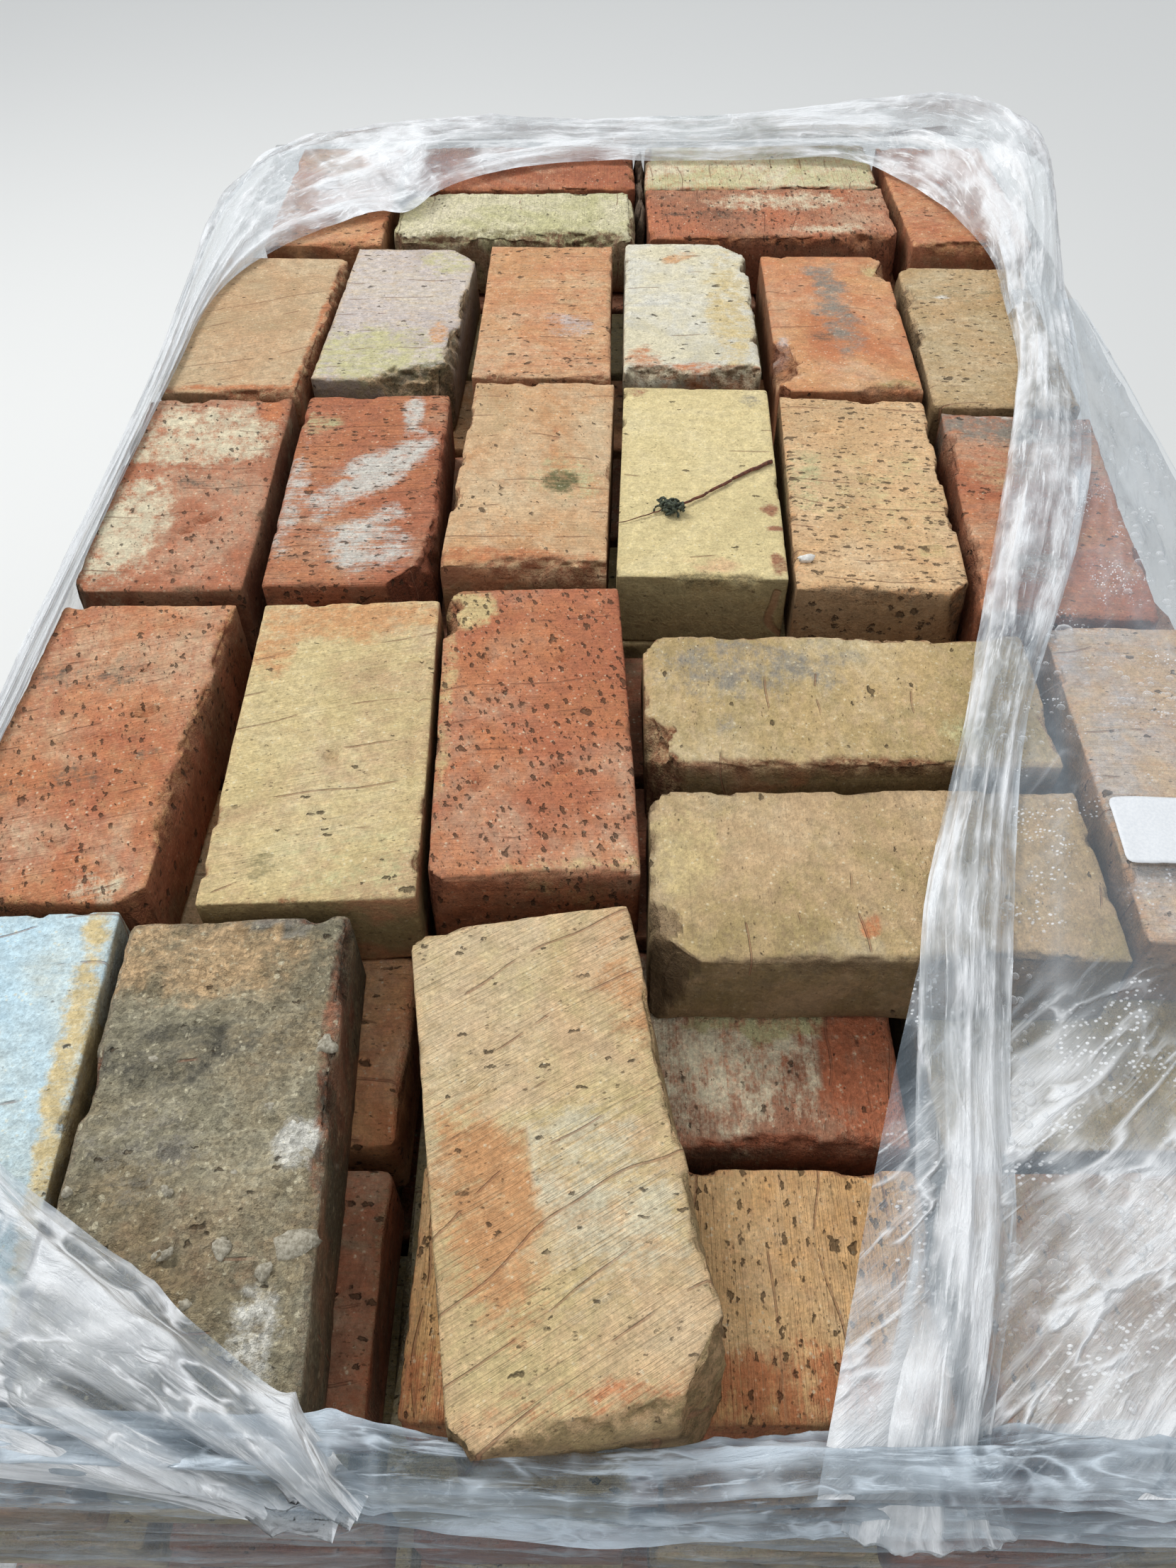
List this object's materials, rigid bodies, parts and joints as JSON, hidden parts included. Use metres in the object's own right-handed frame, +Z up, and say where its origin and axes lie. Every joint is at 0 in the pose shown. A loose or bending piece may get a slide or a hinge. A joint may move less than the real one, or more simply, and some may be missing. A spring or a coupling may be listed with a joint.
{
  "type": "pallet of bricks",
  "caption": "Wooden block pallet loaded with hand-stacked solid clay bricks in crossed layers, held by stretch film torn open on top, with four-way fork entry.",
  "frame": {"origin": "middle of the pallet's footprint, on the floor under its foot boards", "axes": "+Z up, +Y along the pallet's length, from the end where top bricks are missing, +X across it"},
  "size_m": [0.8, 1.212, 0.9386],
  "materials": {
    "pallet_wood": "rough sawn, weathered",
    "brick": "matt fired clay with old mortar",
    "brick_top": "matt fired clay, weathered, with old mortar and lichen",
    "stretch_film": "clear glossy film, wrinkled",
    "label_paper": "plain matt white"
  },
  "bodies": {
    "root": {"deck_board_1": "pallet_wood", "deck_board_2": "pallet_wood", "deck_board_3": "pallet_wood", "deck_board_4": "pallet_wood", "deck_board_5": "pallet_wood", "cross_board_1": "pallet_wood", "cross_board_2": "pallet_wood", "cross_board_3": "pallet_wood", "block_1": "pallet_wood", "block_2": "pallet_wood", "block_3": "pallet_wood", "block_4": "pallet_wood", "block_5": "pallet_wood", "block_6": "pallet_wood", "block_7": "pallet_wood", "block_8": "pallet_wood", "block_9": "pallet_wood", "foot_board_1": "pallet_wood", "foot_board_2": "pallet_wood", "foot_board_3": "pallet_wood", "brick_layer_01": "brick", "brick_layer_02": "brick", "brick_layer_03": "brick", "brick_layer_04": "brick", "brick_layer_05": "brick", "brick_layer_06": "brick", "brick_layer_07": "brick", "brick_layer_08": "brick", "brick_layer_09": "brick", "brick_layer_10": "brick", "brick_layer_11": "brick", "brick_layer_12": "brick", "brick_layer_13": "brick", "brick_layer_14": "brick_top", "film_wrap": "stretch_film", "film_rim_left": "stretch_film", "film_rim_back": "stretch_film", "film_rim_right": "stretch_film", "film_rim_front": "stretch_film", "film_rim_front_low": "stretch_film", "film_flap_right": "stretch_film", "film_flap_front_left": "stretch_film", "film_flap_back_left": "stretch_film", "film_flap_back_right": "stretch_film", "blank_label": "label_paper"}
  },
  "joints": []
}
